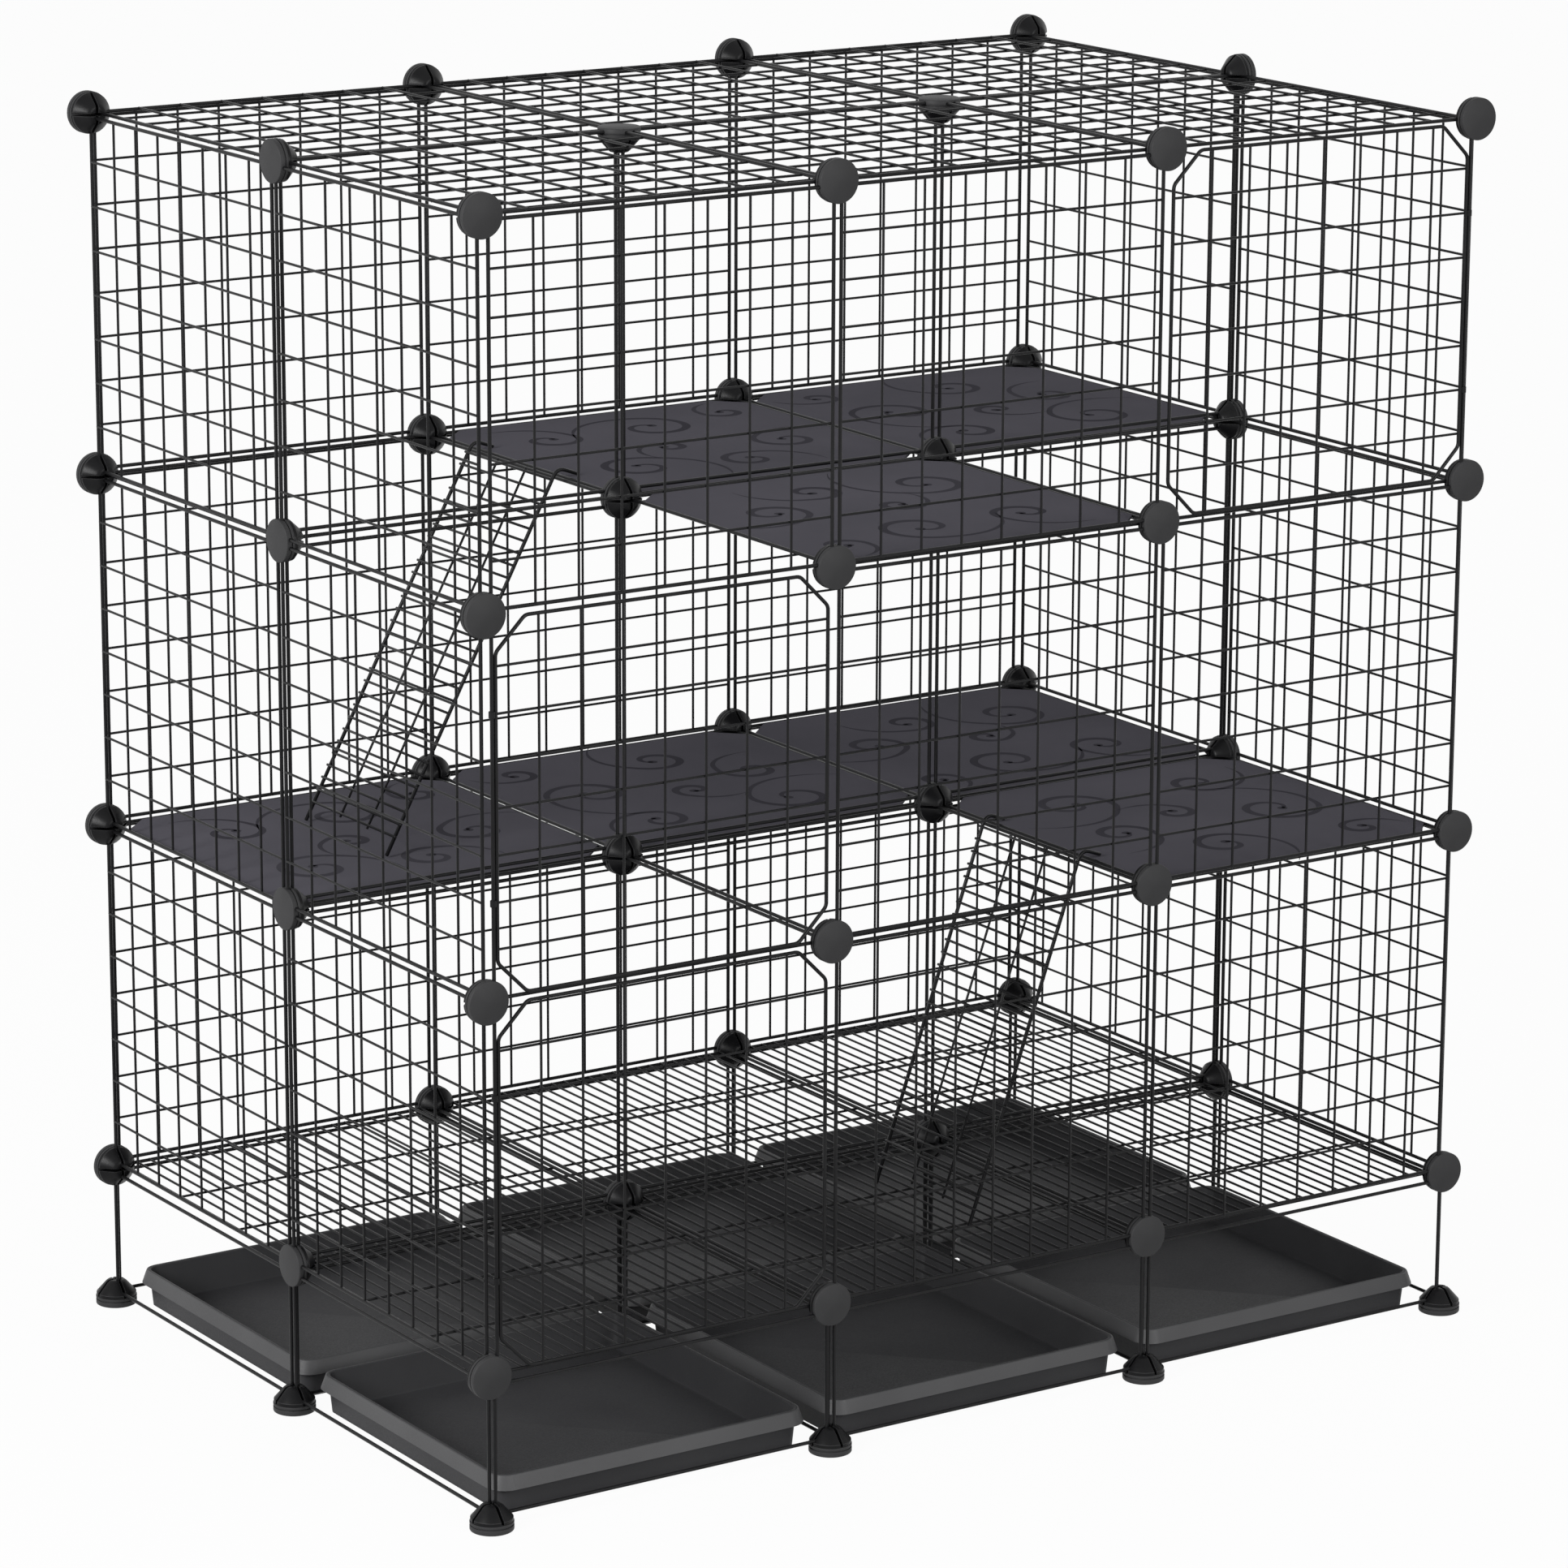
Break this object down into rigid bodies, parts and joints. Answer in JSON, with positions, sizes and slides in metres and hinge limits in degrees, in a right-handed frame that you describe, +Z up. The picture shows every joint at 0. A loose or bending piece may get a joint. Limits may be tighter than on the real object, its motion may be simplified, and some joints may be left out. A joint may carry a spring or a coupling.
{
  "type": "ferret cage",
  "caption": "Modular wire pet cage on short legs: clipped square panels, doors, shelves, ladder ramps and slide-out litter trays under a wire floor.",
  "frame": {"origin": "on the ground under the middle of the cage", "axes": "+X to the right and +Y to the back, seen from the front where the doors are; +Z up"},
  "size_m": [1.1196, 0.7616, 1.194],
  "materials": {
    "wire": "satin",
    "clip": "satin",
    "sheet": "matte",
    "tray": "gloss"
  },
  "bodies": {
    "cage": {"back_1": "wire", "back_2": "wire", "back_3": "wire", "centre_frame_lower": "wire", "centre_frame_upper": "wire", "floor_back_1": "wire", "floor_back_2": "wire", "floor_back_3": "wire", "floor_front_1": "wire", "floor_front_2": "wire", "floor_front_3": "wire", "front_bottom_2": "wire", "front_bottom_3": "wire", "front_middle_2": "wire", "front_middle_3": "wire", "front_top_1": "wire", "front_top_2": "wire", "left_back": "wire", "left_front_bottom": "wire", "left_front_middle": "wire", "left_front_top": "wire", "leg_back_1": "clip", "leg_back_2": "clip", "leg_back_3": "clip", "leg_back_4": "clip", "leg_centre_1": "clip", "leg_centre_2": "clip", "leg_centre_3": "clip", "leg_centre_4": "clip", "leg_front_1": "clip", "leg_front_2": "clip", "leg_front_3": "clip", "leg_front_4": "clip", "right_back_bottom": "wire", "right_back_middle": "wire", "right_back_top": "wire", "right_front_bottom": "wire", "right_front_middle": "wire", "right_front_top": "wire", "roof_1": "wire", "roof_2": "wire", "roof_3": "wire", "shelf_lower_back_1": "sheet", "shelf_lower_back_2": "sheet", "shelf_lower_back_3": "sheet", "shelf_lower_front_3": "sheet", "shelf_upper_back_2": "sheet", "shelf_upper_back_3": "sheet", "shelf_upper_front_2": "sheet"},
    "door_bottom": {"door_bottom": "wire"},
    "door_middle": {"door_middle": "wire"},
    "door_top": {"door_top": "wire"},
    "ramp_lower": {"ramp_lower": "wire"},
    "ramp_upper": {"ramp_upper": "wire"},
    "tray_back_1": {"tray_back_1": "tray"},
    "tray_back_2": {"tray_back_2": "tray"},
    "tray_back_3": {"tray_back_3": "tray"},
    "tray_front_1": {"tray_front_1": "tray"},
    "tray_front_2": {"tray_front_2": "tray"},
    "tray_front_3": {"tray_front_3": "tray"}
  },
  "joints": [
    {"name": "door_bottom_hinge", "type": "hinge", "parent": "cage", "child": "door_bottom", "pos_m": [-0.533, -0.36075, 0.314], "axis": [0, 0, -1], "range_deg": [0, 120]},
    {"name": "door_middle_hinge", "type": "hinge", "parent": "cage", "child": "door_middle", "pos_m": [-0.533, -0.36075, 0.658], "axis": [0, 0, -1], "range_deg": [0, 120]},
    {"name": "door_top_hinge", "type": "hinge", "parent": "cage", "child": "door_top", "pos_m": [0.533, -0.36075, 1.002], "axis": [0, 0, 1], "range_deg": [0, 120]},
    {"name": "tray_back_1_lift", "type": "slide", "parent": "cage", "child": "tray_back_1", "axis": [0, 0, 1], "range_m": [0, 0.05]},
    {"name": "tray_back_2_lift", "type": "slide", "parent": "cage", "child": "tray_back_2", "axis": [0, 0, 1], "range_m": [0, 0.05]},
    {"name": "tray_back_3_lift", "type": "slide", "parent": "cage", "child": "tray_back_3", "axis": [0, 0, 1], "range_m": [0, 0.05]},
    {"name": "tray_front_1_lift", "type": "slide", "parent": "cage", "child": "tray_front_1", "axis": [0, 0, 1], "range_m": [0, 0.05]},
    {"name": "tray_front_2_lift", "type": "slide", "parent": "cage", "child": "tray_front_2", "axis": [0, 0, 1], "range_m": [0, 0.05]},
    {"name": "tray_front_3_lift", "type": "slide", "parent": "cage", "child": "tray_front_3", "axis": [0, 0, 1], "range_m": [0, 0.05]},
    {"name": "ramp_lower_hook", "type": "hinge", "parent": "cage", "child": "ramp_lower", "pos_m": [0.194, -0.179, 0.4878], "axis": [0, 1, 0], "range_deg": [0, 30]},
    {"name": "ramp_upper_hook", "type": "hinge", "parent": "cage", "child": "ramp_upper", "pos_m": [-0.164, 0.179, 0.8318], "axis": [0, 1, 0], "range_deg": [0, 30]}
  ]
}
